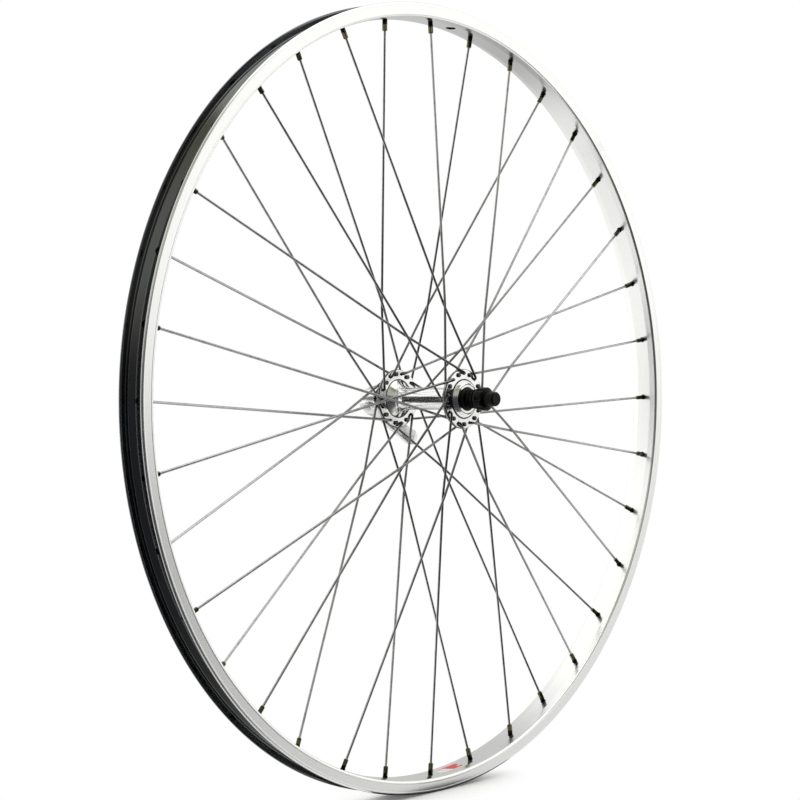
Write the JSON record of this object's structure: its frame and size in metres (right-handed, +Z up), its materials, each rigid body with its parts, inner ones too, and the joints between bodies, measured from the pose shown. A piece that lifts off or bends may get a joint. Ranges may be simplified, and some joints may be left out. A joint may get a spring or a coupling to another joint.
{
  "type": "front bicycle wheel",
  "caption": "Spoked front bicycle wheel without tyre: hollow-section alloy rim, crossed steel spokes, small-flange hub on ball bearings and a quick-release skewer with cam lever.",
  "frame": {"origin": "wheel centre: on the axle line, midway between the locknut faces and midway across the rim", "axes": "+Y along the axle to the left (lever) side, +Z up, +X forward"},
  "size_m": [0.634, 0.1418, 0.634],
  "materials": {
    "rim_alloy": "polished and lightly brushed",
    "insert_alloy": "mill finish",
    "sticker": "printed film",
    "spoke_steel": "drawn stainless",
    "nipple_brass": "nickel plated",
    "hub_alloy": "polished",
    "race_steel": "ground",
    "cap_chrome": "bright",
    "ball_steel": "bright",
    "axle_steel": "zinc plated",
    "black_steel": "black",
    "seal_rubber": "matt",
    "rod_steel": "zinc plated",
    "housing_chrome": "bright",
    "lever_chrome": "bright",
    "spring_steel": "bright wire",
    "nut_black": "satin black",
    "ring_steel": "blackened"
  },
  "bodies": {
    "axle_set": {"axle": "axle_steel", "cone_left": "black_steel", "cone_right": "black_steel", "cone_seal_left": "seal_rubber", "cone_seal_right": "seal_rubber", "lock_washer_left": "black_steel", "lock_washer_right": "black_steel", "locknut_left": "black_steel", "locknut_right": "black_steel"},
    "wheel": {"rim": "rim_alloy", "rim_joint_inserts": "insert_alloy", "rim_sticker": "sticker", "spokes_right_heads_out": "spoke_steel", "spokes_right_heads_in": "spoke_steel", "spokes_left_heads_out": "spoke_steel", "spokes_left_heads_in": "spoke_steel", "nipples_right": "nipple_brass", "nipples_left": "nipple_brass", "hub_shell": "hub_alloy", "bearing_cup_left": "race_steel", "bearing_cup_right": "race_steel", "dust_cap_left": "cap_chrome", "dust_cap_right": "cap_chrome"},
    "balls_left": {"bearing_balls_left": "ball_steel", "ball_retainer_left": "race_steel"},
    "balls_right": {"bearing_balls_right": "ball_steel", "ball_retainer_right": "race_steel"},
    "clamp_housing": {"cam_housing": "housing_chrome", "spring_left": "spring_steel"},
    "lever": {"cam_lever": "lever_chrome", "cam_pin": "rod_steel", "pin_clip": "rod_steel"},
    "skewer": {"skewer_rod": "rod_steel"},
    "nut_spring": {"spring_right": "spring_steel"},
    "nut": {"adjusting_nut": "nut_black", "nut_clamp_ring": "ring_steel"}
  },
  "joints": [
    {"name": "wheel_spin", "type": "hinge", "parent": "axle_set", "child": "wheel", "pos_m": [0, 0, 0], "axis": [0, 1, 0], "continuous": true},
    {"name": "balls_left_orbit", "type": "hinge", "parent": "axle_set", "child": "balls_left", "pos_m": [0, 0.033, 0], "axis": [0, 1, 0], "continuous": true},
    {"name": "balls_right_orbit", "type": "hinge", "parent": "axle_set", "child": "balls_right", "pos_m": [0, -0.033, 0], "axis": [0, 1, 0], "continuous": true},
    {"name": "skewer_turn", "type": "hinge", "parent": "axle_set", "child": "clamp_housing", "pos_m": [0, 0.064, 0], "axis": [0, 1, 0], "continuous": true},
    {"name": "lever_turn", "type": "hinge", "parent": "clamp_housing", "child": "lever", "pos_m": [0, 0.064, 0], "axis": [0.5878, 0, 0.809], "range_deg": [0, 180]},
    {"name": "skewer_pull", "type": "slide", "parent": "clamp_housing", "child": "skewer", "axis": [0, -1, 0], "range_m": [0, 0.0025]},
    {"name": "nut_travel", "type": "slide", "parent": "skewer", "child": "nut_spring", "axis": [0, -1, 0], "range_m": [0, 0.0041]},
    {"name": "nut_turn", "type": "hinge", "parent": "nut_spring", "child": "nut", "pos_m": [0, -0.061, 0], "axis": [0, -1, 0], "range_deg": [0, 1800]}
  ],
  "couplings": [
    {"joint": "balls_left_orbit", "follows": "wheel_spin", "ratio": 0.6},
    {"joint": "balls_right_orbit", "follows": "wheel_spin", "ratio": 0.6},
    {"joint": "skewer_pull", "follows": "lever_turn", "m_per_rad": 0.000795},
    {"joint": "nut_travel", "follows": "nut_turn", "m_per_rad": 0.00012732}
  ]
}
